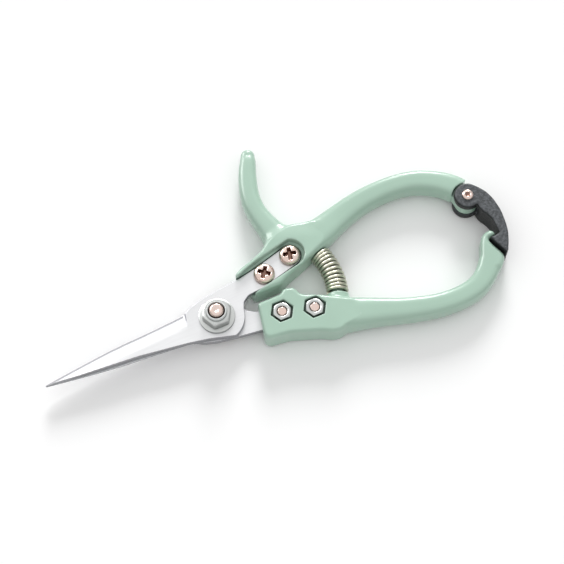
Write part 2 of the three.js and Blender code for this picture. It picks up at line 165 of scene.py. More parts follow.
def eased(corners, reach, steps=4):
    """A closed outline with each corner cut back by reach, or to near its sides' middles, and rounded."""
    corners = np.array(corners, float)
    points = []
    for before, corner, after in zip(np.roll(corners, 1, 0), corners, np.roll(corners, -1, 0)):
        back, on = before - corner, after - corner
        cut = min(reach, 0.45 * np.linalg.norm(back), 0.45 * np.linalg.norm(on))
        start = corner + back / np.linalg.norm(back) * cut
        end = corner + on / np.linalg.norm(on) * cut
        for t in np.linspace(0, 1, steps + 1):
            points.append((1 - t) ** 2 * start + 2 * t * (1 - t) * corner + t * t * end)
    return np.array(points)


def spline(stations, count):
    """Points on a smooth open line through the stations, each with all of a station's numbers."""
    stations = np.array(stations, float)
    padded = np.vstack([2 * stations[0] - stations[1], stations, 2 * stations[-1] - stations[-2]])
    points = []
    for at in np.linspace(0, len(stations) - 1, count):
        i = min(int(at), len(stations) - 2)
        t = at - i
        a, b, c, d = padded[i:i + 4]
        points.append(b + 0.5 * t * (c - a + t * (2 * a - 5 * b + 4 * c - d + t * (3 * (b - c) + d - a))))
    return np.array(points)


def arc(centre, radius, start, end, steps):
    """Points on an arc about a centre, with angles in degrees."""
    angles = np.radians(np.linspace(start, end, steps + 1))
    return np.stack([centre[0] + radius * np.cos(angles), centre[1] + radius * np.sin(angles)], 1)


def outline_distance(outline, x, y):
    """How far each place lies outside a closed outline, negative inside."""
    x, y = np.broadcast_arrays(x, y)
    nearest = np.full(x.shape, np.inf)
    inside = np.zeros(x.shape, bool)
    for (ax, ay), (bx, by) in zip(outline, np.roll(outline, -1, 0)):
        ex, ey = bx - ax, by - ay
        if ex == 0 and ey == 0:
            continue
        t = np.clip(((x - ax) * ex + (y - ay) * ey) / (ex * ex + ey * ey), 0, 1)
        nearest = np.minimum(nearest, np.hypot(x - ax - t * ex, y - ay - t * ey))
        if ey != 0:
            inside ^= ((ay > y) != (by > y)) & (x < ax + (y - ay) * ex / ey)
    return np.where(inside, -nearest, nearest)


def joined(first, second, reach=0.0):
    """Two shapes made one, with a fillet of that reach between them."""
    if reach == 0:
        return np.minimum(first, second)
    near = np.maximum(reach - np.abs(first - second), 0) / reach
    return np.minimum(first, second) - near * near * reach / 4


def filleted(first, second, reach):
    """Two shapes made one, with a fillet where they meet at an angle and none where they run alongside."""
    slopes = [np.gradient(shape.astype(np.float32)) for shape in (first, second)]
    lengths = [np.sqrt(sum(g * g for g in slope)) for slope in slopes]
    match = sum(a * b for a, b in zip(*slopes)) / np.maximum(lengths[0] * lengths[1], 1e-6)
    size = reach * np.clip(1 - match, 1e-3, 1)
    near = np.maximum(size - np.abs(first - second), 0) / size
    return np.minimum(first, second) - near * near * size / 4


def eased_step(value, start, end):
    """From 0 at start to 1 at end, with a level beginning and finish."""
    t = np.clip((value - start) / (end - start), 0, 1)
    return t * t * (3 - 2 * t)


def cut(shape, tool, reach=0.25):
    """A shape with a tool's shape taken away, its new edges broken by that reach."""
    return -joined(-shape, tool, reach)


def rounded(side, face, edge):
    """The shape inside a side's and a face's distances, with its edges rounded."""
    side, face = side + edge, face + edge
    outside = np.hypot(np.maximum(side, 0), np.maximum(face, 0))
    return outside + np.minimum(np.maximum(side, face), 0) - edge


class Block:
    """A block of evenly spaced places, in which a shape is a field of distances in millimetres."""

    def __init__(self, low, high, grain):
        self.grain = np.broadcast_to(np.array(grain, float), 3)
        margin = 2.6 * self.grain
        self.low = np.array(low, float) - margin
        counts = np.ceil((np.array(high, float) + margin - self.low) / self.grain).astype(int) + 1
        x, y, z = (self.low[i] + self.grain[i] * np.arange(counts[i]) for i in range(3))
        self.x, self.y, self.z = x[:, None], y[None, :], z[None, None, :]

    def raised(self, outline, low, high, edge=0.0):
        """A flat outline raised from low to high, with its edges rounded."""
        side = outline_distance(outline, self.x, self.y)[..., None]
        return rounded(side, np.abs(self.z - (low + high) / 2) - (high - low) / 2, edge)

    def swelled(self, outline, half, edge):
        """A flat outline about the middle plane whose half thickness is given for each place."""
        side = outline_distance(outline, self.x, self.y)[..., None]
        return rounded(side, np.abs(self.z - MIDDLE) - half[..., None], edge)

    def disc(self, centre, radius, low, high, edge=0.0):
        """An upright disc."""
        side = (np.hypot(self.x - centre[0], self.y - centre[1]) - radius)[..., None]
        return rounded(side, np.abs(self.z - (low + high) / 2) - (high - low) / 2, edge)

    def hexagon(self, centre, flats, low, high):
        """A hexagonal prism with corners towards -X and +X."""
        return self.raised(arc(centre, flats / math.sqrt(3), 0, 300, 5), low, high)

    def bar(self, stations, squareness, flat_end=False):
        """A bar with a rounded section along a smooth line through stations (x, y, width, thickness)."""
        line = spline(stations, 110)
        x, y = np.broadcast_arrays(self.x, self.y)
        nearest = np.full(x.shape, np.inf)
        width, thick = np.zeros(x.shape), np.zeros(x.shape)
        for a, b in zip(line[:-1], line[1:]):
            ex, ey = b[:2] - a[:2]
            t = np.clip(((x - a[0]) * ex + (y - a[1]) * ey) / (ex * ex + ey * ey), 0, 1)
            far = np.hypot(x - a[0] - t * ex, y - a[1] - t * ey)
            closer = far < nearest
            nearest = np.where(closer, far, nearest)
            width = np.where(closer, a[2] + t * (b[2] - a[2]), width)
            thick = np.where(closer, a[3] + t * (b[3] - a[3]), thick)
        across = (2 * nearest / width)[..., None] ** squareness
        up = (2 * np.abs(self.z - MIDDLE) / thick[..., None]) ** squareness
        shape = ((across + up) ** (1 / squareness) - 1) * np.minimum(width, thick)[..., None] / 2
        if flat_end:
            end, towards = line[-1][:2], line[-1][:2] - line[-2][:2]
            towards = towards / np.linalg.norm(towards)
            past = (x - end[0]) * towards[0] + (y - end[1]) * towards[1]
            near = np.hypot(x - end[0], y - end[1]) < width * 0.9
            shape = np.maximum(shape, np.where(near, past, -9.0)[..., None])
        return shape

    def rod(self, start, towards, radius, length, edge):
        """A round rod that lies in the middle plane."""
        along = (self.x - start[0]) * towards[0] + (self.y - start[1]) * towards[1]
        across = (self.y - start[1]) * towards[0] - (self.x - start[0]) * towards[1]
        side = np.hypot(across[..., None], self.z - MIDDLE) - radius
        return rounded(side, (np.abs(along - length / 2) - length / 2)[..., None], edge)

    def turned(self, profile, centre):
        """A profile of (radius, height) turned about an upright axis, as a closed outline."""
        radius = np.hypot(self.x - centre[0], self.y - centre[1])[..., None]
        return outline_distance(np.array(profile, float), radius, self.z)

    def skin(self, shape):
        """The surface of a shape: one point in each crossed cell and one face on each crossed edge."""
        cells = np.array(shape.shape) - 1
        total = int(cells.prod())
        inside = shape < 0
        sums = np.zeros((4, total))
        faces = []
        for axis in range(3):
            start, end = [slice(None)] * 3, [slice(None)] * 3
            start[axis], end[axis] = slice(0, -1), slice(1, None)
            at = np.argwhere(inside[tuple(start)] != inside[tuple(end)])
            first, second = shape[tuple(start)][tuple(at.T)], shape[tuple(end)][tuple(at.T)]
            place = at.astype(float)
            place[:, axis] += first / (first - second)
            u, v = (axis + 1) % 3, (axis + 2) % 3
            ring = []
            for step_u, step_v in ((-1, -1), (0, -1), (0, 0), (-1, 0)):
                cell = at.copy()
                cell[:, u] += step_u
                cell[:, v] += step_v
                number = np.ravel_multi_index(cell.T, cells)
                ring.append(number)
                for i in range(3):
                    sums[i] += np.bincount(number, weights=place[:, i], minlength=total)
                sums[3] += np.bincount(number, minlength=total)
            ring = np.stack(ring, 1)
            ring[first > 0] = ring[first > 0, ::-1]
            faces.append(ring)
        used = np.flatnonzero(sums[3])
        points = (sums[:3, used] / sums[3, used]).T * self.grain + self.low
        order = np.zeros(total, int)
        order[used] = np.arange(len(used))
        return points, order[np.concatenate(faces)].tolist()


# ---- meshes ----


def mesh_object(name, points, faces):
    """A mesh object from points in millimetres."""
    mesh = bpy.data.meshes.new(name)
    mesh.from_pydata((np.array(points, float) * MM).tolist(), [], faces)
    mesh.update()
    made = bpy.data.objects.new(name, mesh)
    bpy.context.scene.collection.objects.link(made)
    return made


def ring_faces(rings):
    """The faces between neighbouring rings of point numbers, without the corners that fall together."""
    faces = []
    for low, high in zip(rings[:-1], rings[1:]):
        for i in range(len(low)):
            j = (i + 1) % len(low)
            corners = [low[i], low[j], high[j], high[i]]
            face = [c for k, c in enumerate(corners) if c != corners[k - 1]]
            if len(face) > 2:
                faces.append(face)
    return faces


def lathe(name, profile, centre, sides=96):
    """A closed solid by turning a profile of (radius, height) about an upright axis.
    A profile that starts and ends at radius 0 is solid, and any other closes on itself."""
    angles = np.linspace(0, 2 * math.pi, sides, endpoint=False)
    points, rings = [], []
    for radius, height in profile:
        start = len(points)
        if radius == 0:
            points.append((centre[0], centre[1], height))
            rings.append([start] * sides)
        else:
            points += [(centre[0] + radius * math.cos(a), centre[1] + radius * math.sin(a), height)
                       for a in angles]
            rings.append(list(range(start, start + sides)))
    if profile[0][0] != 0:
        rings.append(rings[0])
    return mesh_object(name, points, ring_faces(rings))


def nut(name, node, centre, bore, edge):
    """A hexagonal nut the size of a frame node, chamfered at 30 degrees, with corners towards -X and +X."""
    low, high = box_mm(node)
    half = (high[1] - low[1]) / 2
    rim, lead, sides = 0.955 * half, 0.35, 96
    points = []
    for i in range(sides):
        turn = 360 * i / sides
        a = math.radians(turn)
        corner = half / math.cos(math.radians(turn % 60 - 30))
        drop = (corner - rim) * math.tan(math.radians(30))
        profile = (
            (bore, low[2] + lead), (bore + lead, low[2]), (rim, low[2]), (corner, low[2] + drop),
            (corner, high[2] - drop), (rim, high[2]), (bore + lead, high[2]), (bore, high[2] - lead),
        )
        points += [(centre[0] + radius * math.cos(a), centre[1] + radius * math.sin(a), height)
                   for radius, height in profile]
    rings = np.arange(len(points)).reshape(sides, -1).T.tolist()
    return break_edges(mesh_object(name, points, ring_faces(rings + rings[:1])), edge, 30)


def mark_painted_recess_shade(made, depths):
    """Keeps how far each point lies in a recess, from 0 to 1, for the plating to darken it there as painted
    shade.
    """
    recess = made.data.attributes.new("recess", "FLOAT", "POINT")
    recess.data.foreach_set("value", np.array(depths, np.float32))


def smooth_by_angle(made, degrees):
    """Smooth shading with creases at the edges that turn by more than an angle."""
    made.data.shade_smooth()
    made.data.set_sharp_from_angle(angle=math.radians(degrees))
    return made


def break_edges(made, width, degrees):
    """Small rounded bevels on the edges that turn by more than an angle."""
    bevel = made.modifiers.new("edges", "BEVEL")
    bevel.width = width * MM
    bevel.segments = 2
    bevel.limit_method = "ANGLE"
    bevel.angle_limit = math.radians(degrees)
    bevel.harden_normals = True
    view = bpy.context.evaluated_depsgraph_get()
    sharp, made.data = made.data, bpy.data.meshes.new_from_object(made.evaluated_get(view))
    made.modifiers.clear()
    bpy.data.meshes.remove(sharp)
    return smooth_by_angle(made, degrees)


def turn_over(made):
    """Turns a mesh over about the X axis through the blades' meeting plane."""
    made.data.transform(Matrix.Translation((0, 0, 2 * MIDDLE * MM)) @ Matrix.Rotation(math.pi, 4, "X"))
    made.data.update()
    return made


def fit(made, finish, body, node):
    """Gives a piece its finish and body, and lets it stand for its frame node."""
    made.data.materials.append(finish)
    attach(made, body)
    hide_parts(node)


# ---- finishes ----


class Field:
    """A socket among the nodes. Fields and numbers combine with +, - and *."""

    def __init__(self, nodes, socket):
        self.nodes, self.socket = nodes, socket

    def _with(self, operation, first, second):
        return self.nodes.node("ShaderNodeMath", {"operation": operation}, {0: first, 1: second})

    def __add__(self, other):
        return self._with("ADD", self, other)

    def __mul__(self, other):
        return self._with("MULTIPLY", self, other)

    def __sub__(self, other):
        return self._with("SUBTRACT", self, other)

    def __rsub__(self, other):
        return self._with("SUBTRACT", other, self)

    __radd__ = __add__
    __rmul__ = __mul__


class Nodes:
    """The nodes of a material or of the world, under construction."""

    def __init__(self, tree):
        self.tree = tree

    def feed(self, socket, value):
        if isinstance(value, Field):
            self.tree.links.new(value.socket, socket)
        else:
            socket.default_value = value

    def node(self, kind, settings=None, inputs=None, out=0):
        """A new node with its settings and its sockets' values or links, as the field of one output."""
        made = self.tree.nodes.new(kind)
        for name, value in (settings or {}).items():
            if name == "stops":
                self.set_stops(made.color_ramp, value)
            else:
                setattr(made, name, value)
        for name, value in (inputs or {}).items():
            self.feed(made.inputs[name], value)
        return Field(self, made.outputs[out])

    @staticmethod
    def set_stops(ramp, stops):
        while len(ramp.elements) < len(stops):
            ramp.elements.new(1.0)
        for element, (position, grey) in zip(ramp.elements, stops):
            element.position = position
            element.color = (grey, grey, grey, 1.0)

    def ramp(self, factor, *stops):
        """A number remapped by (position, value) stops."""
        return self.node("ShaderNodeValToRGB", {"stops": stops}, {0: factor})


class Finish(Nodes):
    """A material round one Principled shader."""

    def __init__(self, name):
        self.material = bpy.data.materials.new(name)
        self.material.use_nodes = True
        super().__init__(self.material.node_tree)
        self.shader = self.tree.nodes["Principled BSDF"]
        self.place = self.node("ShaderNodeTexCoord", out="Object")

    def noise(self, scale, detail=2.0, stretch=(1.0, 1.0, 1.0), roughness=0.5, lift=0.0):
        """Soft cloudy noise from 0 to 1, with a size per metre and a stretch for each axis."""
        place = self.node("ShaderNodeMapping", None, {
            "Vector": self.place, "Scale": stretch, "Location": (lift, lift, lift)})
        return self.node("ShaderNodeTexNoise", None, {
            "Vector": place, "Scale": scale, "Detail": detail, "Roughness": roughness})

    def mix(self, factor, first, second):
        """A colour between two others."""
        return self.node("ShaderNodeMix", {"data_type": "RGBA"}, {0: factor, 6: first, 7: second}, out=2)

    def level(self):
        """1 on level faces and 0 on upright walls."""
        upright = self.node("ShaderNodeSeparateXYZ", None, {
            0: self.node("ShaderNodeNewGeometry", out="Normal")}, out=2)
        return self.node("ShaderNodeMath", {"operation": "ABSOLUTE"}, {0: upright})

    def hidden(self, reach, most, least):
        """1 deep in a gap or recess and 0 in the open, by the share of the sky seen within a reach."""
        seen = self.node("ShaderNodeAmbientOcclusion", {"samples": 12}, {"Distance": reach}, out="AO")
        return 1 - self.ramp(seen, (most, 0.0), (least, 1.0))

    def bump(self, height, distance, strength):
        """A surface normal from a height."""
        return self.node("ShaderNodeBump", None, {
            "Height": height, "Distance": distance, "Strength": strength})

    def shade(self, sockets):
        for name, value in sockets.items():
            self.feed(self.shader.inputs[name], value)
        return self.material


def tone(colour, share):
    """A colour made darker or lighter, with full alpha."""
    return tuple(min(1.0, c * share) for c in colour) + (1.0,)


def paint_finish(name, colour):
    """Semi-gloss coating on a casting: orange peel, cloudy tone, paler sharp edges that stand for thin paint
    and a painted highlight, and painted shade deep in gaps.
    """
    finish = Finish(name)
    cloud = finish.noise(55.0)
    peel = finish.noise(850.0)
    grain = finish.noise(3200.0, 1.0)
    # Paler at sharp edges: partly worn thin paint, partly a painted highlight.
    edges = finish.ramp(finish.node("ShaderNodeNewGeometry", out="Pointiness"), (0.50, 0.0), (0.60, 1.0))
    body = finish.mix(cloud, tone(colour, 0.95), tone(colour, 1.06))
    body = finish.mix(edges * 0.35, body, tone([0.25 + 0.75 * c for c in colour], 1.0))
    # Painted shade: the paint goes dark deep in gaps and pocket walls.
    body = finish.mix(finish.hidden(2.4 * MM, 0.05, 0.55) * 0.85, body, tone(colour, 0.12))
    return finish.shade({
        "Base Color": body,
        "Roughness": 0.30 + 0.10 * peel + 0.05 * cloud,
        "Coat Weight": 0.5,
        "Coat Roughness": 0.15,
        "Normal": finish.bump(peel + 0.3 * grain, 0.05 * MM, 0.35),
    })


def steel_finish(name, colour):
    """Satin steel: long polishing lines on the flats, and short lines on the darker ground faces."""
    finish = Finish(name)
    ground = 1 - finish.ramp(finish.level(), (0.975, 0.0), (0.995, 1.0))
    long_lines = finish.noise(1.0, 3.0, stretch=(60.0, 4200.0, 900.0))
    short_lines = finish.noise(1.0, 3.0, stretch=(3800.0, 240.0, 900.0))
    lines = long_lines + ground * (short_lines - long_lines)
    cloud = finish.ramp(finish.noise(38.0, lift=3.0), (0.3, 0.0), (0.7, 1.0))
    body = finish.mix(cloud, tone(colour, 0.90), tone(colour, 1.04))
    body = finish.mix(lines, tone(colour, 0.90), body)
    body = finish.mix(ground, body, tone((colour[0], colour[1], 1.04 * colour[2]), 0.46))
    return finish.shade({
        "Base Color": body,
        "Metallic": 1.0,
        "Roughness": 0.24 + 0.16 * lines + 0.06 * cloud + 0.08 * ground,
        "Normal": finish.bump(lines, 0.012 * MM, 0.5),
    })


def plate_finish(name, colour, second, roughness=0.2):
    """Bright zinc plating between two tints, with dull specks, and painted shade on upright walls, in gaps
    and in marked recesses.
    """
    finish = Finish(name)
    cloud = finish.ramp(finish.noise(210.0, 3.0), (0.35, 0.0), (0.65, 1.0))
    specks = finish.noise(2600.0)
    body = finish.mix(cloud, tone(colour, 1.0), tone(second, 1.0))
    # Painted shade: upright walls are darker than level faces.
    body = finish.mix(finish.ramp(finish.level(), (0.1, 0.0), (0.75, 1.0)), tone(colour, 0.6), body)
    # Painted shade: darker deep in gaps and recesses that see little sky.
    painted_gap_shade = finish.hidden(1.0 * MM, 0.15, 0.75)
    body = finish.mix(painted_gap_shade * 0.9, body, tone([c * c for c in colour], 0.14))
    # Painted shade: points marked as lying in a cross recess or a dimple are darkened.
    recess = finish.node("ShaderNodeAttribute", {"attribute_name": "recess"}, out="Fac")
    return finish.shade({
        "Base Color": finish.mix(recess * 0.88, body, tone([c ** 3 for c in colour], 0.34)),
        "Metallic": 1.0,
        "Roughness": roughness + 0.12 * specks + 0.05 * cloud,
        "Normal": finish.bump(specks, 0.02 * MM, 0.4),
    })


def plastic_finish(name, colour):
    """Charcoal moulded plastic with a mottled spark-eroded texture, and upright walls darkened as painted
    shade.
    """
    finish = Finish(name)
    mottle = finish.ramp(finish.noise(900.0, 3.0, roughness=0.6), (0.42, 0.0), (0.66, 1.0))
    cloud = finish.noise(160.0)
    pits = finish.noise(1500.0)
    face = finish.mix(mottle * 0.75, tone(colour, 2.2), tone(colour, 6.5))
    face = finish.mix(cloud * 0.3, face, tone(colour, 2.6))
    # Painted shade: upright walls are darker than level faces.
    top = finish.ramp(finish.level(), (0.55, 0.0), (0.95, 1.0))
    return finish.shade({
        "Base Color": finish.mix(top, tone(colour, 0.45), face),
        "Roughness": 0.36 + 0.2 * pits,
        "Specular IOR Level": 0.4,
        "Normal": finish.bump(pits + 0.7 * mottle, 0.16 * MM, 0.6),
    })


def nylon_finish(name, colour):
    """Milky nylon with faint moulding marks."""
    finish = Finish(name)
    cloud = finish.noise(500.0)
    return finish.shade({
        "Base Color": finish.mix(cloud, tone(colour, 0.93), tone(colour, 1.05)),
        "Roughness": 0.38 + 0.12 * cloud,
        "Normal": finish.bump(cloud, 0.03 * MM, 0.3),
    })


def floor_finish(name, colour):
    """Matt white paper with the faintest unevenness."""
    finish = Finish(name)
    cloud = finish.noise(9.0)
    return finish.shade({
        "Base Color": finish.mix(cloud, tone(colour, 0.995), tone(colour, 1.005)),
        "Roughness": 0.75 + 0.1 * cloud,
        "Specular IOR Level": 0.2,
    })


def finish_named(name, make, *details):
    """A finish by name, made once and then shared."""
    return bpy.data.materials.get(name) or make(name, *details)


def colours():
    return bpy.context.scene.shears_finishes


def screw_plating():
    warm = colours().screw_plate
    return finish_named("warm_plating", plate_finish, warm, [0.2 + 0.74 * c for c in warm], 0.16)


def nut_plating():
    plain = colours().nut_plate
    return finish_named("zinc_plating", plate_finish, plain, [c * 0.9 for c in plain], 0.22)


def spring_plating():
    yellow = colours().spring_plate
    return finish_named("spring_plating", plate_finish, yellow, [c * 0.9 for c in yellow], 0.26)


def handle_paint():
    return finish_named("sage_coating", paint_finish, colours().paint)


# ---- handles ----

SCREW_LINE = math.atan2(SCREWS[1][1] - SCREWS[0][1], SCREWS[1][0] - SCREWS[0][0])
# Half widths of a blade's tang and of its pocket, and other gaps and thicknesses of the castings.
TANG = 4.6
TANG_WALL = TANG + SEAT_GAP
NUT_GAP = 0.85
SEAT_PROUD = 0.15
TONGUE = 5.0
TONGUE_GAP = 0.3
SCREW_HEAD = np.subtract(*box_mm("upper_blade_screw_1")[::-1])[0] / 2
NUT_FLATS = np.subtract(*box_mm("upper_blade_nut_1")[::-1])[1]

# The spring's axis is an arc about a point on the X axis, BOW_HALF degrees to both sides of it.
SPRING_LOW, SPRING_HIGH = box_mm("return_spring")
BOW_RADIUS = 29.2
BOW_CENTRE = 51.6 - BOW_RADIUS
BOW_HALF = 18.0


def beside_screw(i, along, across):
    """A point beside a blade screw, by its distance along and across the line of the screws."""
    c, s = math.cos(SCREW_LINE), math.sin(SCREW_LINE)
    return [SCREWS[i][0] + along * c - across * s, SCREWS[i][1] + along * s + across * c]


def tang_end(radius, steps=16):
    """The round end of an outline that follows the blade's tang."""
    turn = math.degrees(SCREW_LINE)
    return arc(SCREWS[1], radius, turn - 90, turn + 90, steps)


def turned_over(points):
    """Outline points mirrored to the lower half."""
    return [(x, -y) for x, y in points]


def bow_point(degrees):
    """A point on the spring's axis, with the directions outwards and along, by angle."""
    a = math.radians(degrees)
    outward = np.array([math.cos(a), math.sin(a)])
    return np.array([BOW_CENTRE, 0]) + BOW_RADIUS * outward, outward, np.array([-outward[1], outward[0]])


def spring_seat(block, side):
    """The round boss under an end of the spring and the peg inside its coils."""
    point, _, along = bow_point(side * (BOW_HALF + 1.8))
    away = along * side
    boss = block.rod(point, away, 4.7, 5, 0.5)
    return joined(boss, block.rod(point + away, -away, 2.5, 4.6, 0.6), 0.6)


POCKET_MOUTH = [beside_screw(0, -20, -TANG_WALL - 3), beside_screw(0, -9, -TANG_WALL)]
TANG_POCKET = [*POCKET_MOUTH, *tang_end(TANG_WALL), beside_screw(0, -1, TANG_WALL), (15, 12.4), (8, 12)]
HEAD_POCKET = [*POCKET_MOUTH, beside_screw(1, 1, -TANG_WALL - 1.2),
               *arc(SCREWS[1], SCREW_HEAD + 1.8, -60, 75, 14),
               beside_screw(0, 0, TANG_WALL + 1.1), (14.0, 11.9), (12.0, 12.8), (8, 8)]


def seat_half(fade):
    """Half the thickness of a blade's seat, from just over a bar's to the whole casting's."""
    return BAR / 2 + SEAT_PROUD + (CASTING - BAR - 2 * SEAT_PROUD) / 2 * fade


def nut_pocket(block, shape, centre, low, high):
    """Cuts a nut's hexagonal pocket and its screw's hole."""
    shape = cut(shape, block.hexagon(centre, NUT_FLATS + 2 * NUT_GAP, low, high), 0.35)
    return cut(shape, block.disc(centre, SCREW_HOLE, -1, CASTING + 1))


def by(place, *offsets):
    """Points, or stations with further numbers, given from a place."""
    return [(place[0] + o[0], place[1] + o[1], *o[2:]) for o in offsets]


def upper_casting(sizes):
    """The handle with the thumb horn, the pockets for the front blade and the catch's tongue."""
    block = Block((12.5, 1.2, 0), (123, 67, CASTING), sizes.casting_grain / MM)
    edge = sizes.casting_edge / MM
    fillet = sizes.junction / MM
    fade = eased_step(block.x, 60, 45) * eased_step(block.y + 0.35 * block.x, 45, 33)
    seat = block.swelled(eased([
        (17.6, 1.7), (29.5, 1.9), (34, 4.2), (40, 6.2), (46, 8.6), (54, 12.2), (57, 18), (54, 23.6),
        (48, 24.3), (43, 25.6), (36, 24.4), (31.2, 21.6), (27.9, 19), (22.2, 16.5), (17, 14.9),
        (13.8, 13.3), (13, 11.5), (15.4, 9.8),
    ], 1.6), seat_half(fade), edge)
    arm = block.bar([
        (46, 16, 15, 11), (54, 18.1, 13, 10.4), (62, 20.8, 11.4, BAR), (71, 23.5, 10.3, BAR),
        (80, 25.1, 9.7, BAR), (91, 25.4, 9.4, BAR), (100.5, 23.8, 9.6, BAR),
        *by(HINGE, (-8.9, 12.3, 10, BAR), (-3.8, 8.3, 10.6, BAR), (-0.7, 4.7, 10.6, BAR)),
    ], 3.4, flat_end=True)
    horn = block.bar([
        (38, 19, 17, 10), (35.9, 26.5, 11, 9.4), (33.8, 35, 8.9, 8.6), (33.2, 41, 8.5, 8.2),
        (34, 47, 8.2, 7.8), (36.3, 54.5, 7.7, 7.2), (38.9, 60.4, 6.9, 6.6), (40.0, 63.1, 6.0, 5.4),
    ], 2.9)
    shape = filleted(filleted(seat, arm, fillet), horn, fillet)
    shape = filleted(shape, spring_seat(block, 1), 1.6)
    shape = cut(shape, block.raised(eased(TANG_POCKET, 0.6), WEB_HIGH, FRONT_HIGH + SEAT_GAP))
    wide = block.raised(eased(HEAD_POCKET, 0.8), FRONT_HIGH + SEAT_GAP - 0.05, CASTING + 2)
    shape = cut(shape, wide, 0.5)
    for centre in SCREWS:
        shape = nut_pocket(block, shape, centre, -1, WEB_LOW)
    shape = cut(shape, block.disc(HINGE, 6.4, -1, CASTING + 1), 0.5)
    tongue_low, tongue_high = MIDDLE - TONGUE / 2, MIDDLE + TONGUE / 2
    tongue = block.raised(eased(by(HINGE, (-5.6, 4.6), (-4.9, -0.8), (2.8, 1.2), (-2.6, 9.5)), 0.4),
                          tongue_low, tongue_high)
    tongue = joined(tongue, block.disc(HINGE, 5, tongue_low, tongue_high, 0.2))
    shape = joined(shape, tongue, 0.5)
    return block.skin(cut(shape, block.disc(HINGE, 1.75, -1, CASTING + 1)))


def lower_casting(sizes):
    """The handle with the nut pockets in front, the stop lug and the lip for the catch's hook."""
    block = Block((14, -36.2, 0), (121.5, 0, CASTING), sizes.casting_grain / MM)
    edge = sizes.casting_edge / MM
    fillet = sizes.junction / MM
    fade = eased_step(block.x, 60, 43)
    seat = block.swelled(eased([
        (14.4, -15.8), (14.7, -17.4), (16.2, -18.5), (24.3, -19.4), (35.9, -23.4), (41.4, -26.2),
        (44.3, -26.5), (47.4, -25.4), (54, -25), (56.5, -21), (55, -15.4), (46, -10.8), (41, -8.1),
        (36.2, -6.1), (34.8, -5), (33.6, -1.6), (29.4, -0.4), (27.4, -2.2), (17.1, -2.3),
    ], 1.4), seat_half(fade), edge)
    arm = block.bar([
        (48, -19.3, 14.5, 11), (55, -21.4, 13, 10.4), (62, -23.7, 11.6, BAR), (70, -26.6, 10.4, BAR),
        (77, -28.7, 9.8, BAR), (85, -30.6, 9.4, BAR), (93, -31.3, 9.2, BAR), (100, -30.8, 9.2, BAR),
        *by(BEARING, (-11.6, -15.7, 9.2, BAR), (-6.6, -12.3, 9.4, BAR), (-3.6, -8.9, 9.6, BAR)),
    ], 3.4)
    lip = block.raised(eased([
        *by(BEARING, (-8.2, -9.7), (-5.8, -4.1), (-3.8, 0.1), (-2.2, 2.4), (-0.2, 3.6), (2.1, 3.8),
            (3.5, 2.7)),
        *arc(HINGE, HOOK_REACH - 0.3, -79.6, -89.2, 3),
        *by(BEARING, (0, -0.7), (1, -3.4), (2.3, -6.5), (2.9, -8.5), (2.2, -10.7), (-0.6, -13.6),
            (-5.2, -13.7)),
    ], 1.2), MIDDLE - BAR / 2, MIDDLE + BAR / 2, 2.2)
    arm = np.maximum(arm, -block.raised(catch_outline(0.5), -2, CASTING + 2))
    shape = filleted(filleted(seat, arm, fillet), spring_seat(block, -1), 1.6)
    shape = filleted(shape, lip, 3.0)
    shape = cut(shape, block.raised(eased(turned_over(TANG_POCKET), 0.6), -1, CASTING - WEB_HIGH))
    for centre in SCREWS:
        shape = nut_pocket(block, shape, (centre[0], -centre[1]), CASTING - WEB_LOW, CASTING + 2)
    return block.skin(shape)


class SHEARS_OT_handles(bpy.types.Operator):
    """Make the two painted cast handles"""

    bl_idname = "shears.handles"
    bl_label = "Handles"

    def execute(self, context):
        sizes = context.scene.shears_sizes
        for name, make, body in (("upper_handle_casting", upper_casting, "upper_half"),
                                 ("lower_handle_casting", lower_casting, "lower_half")):
            made = mesh_object(name, *make(sizes))
            made.data.shade_smooth()
            fit(made, handle_paint(), body, name.removesuffix("_casting"))
        return {"FINISHED"}


# ---- blades ----

CUTTING_EDGE = [(-11, 6.4), (-27, 5.1), (-43, 4.1), (-58.5, 2.4), (-75, 0.25)]
SPINE = [(-71, -0.6), (-61, -1.7), (-47, -2.8), (-35.5, -3.6), (-15.5, -6.2), (-6.6, -7.8)]
# Where the ground face runs out towards the heel, and how much that line slants.
PLUNGE_X, PLUNGE_SLANT = -11.6, 0.12


def blade_outline():
    """The front blade seen from above, with its tang."""
    heel = arc((0, 0), 11.5, -69, -8, 24)
    return eased([
        (-75, 0.25), (-74.7, -0.15), *SPINE, *heel, (12.6, 1.5), (15.5, 3.5),
        beside_screw(0, -3.5, -4.4), *tang_end(TANG, 28), beside_screw(0, -1, TANG), (15.2, 12),
        (6.8, 11), (-3.7, 9.4), (-9.2, 7.7), *spline(CUTTING_EDGE, 40)[:-1],
    ], 0.8, 3)


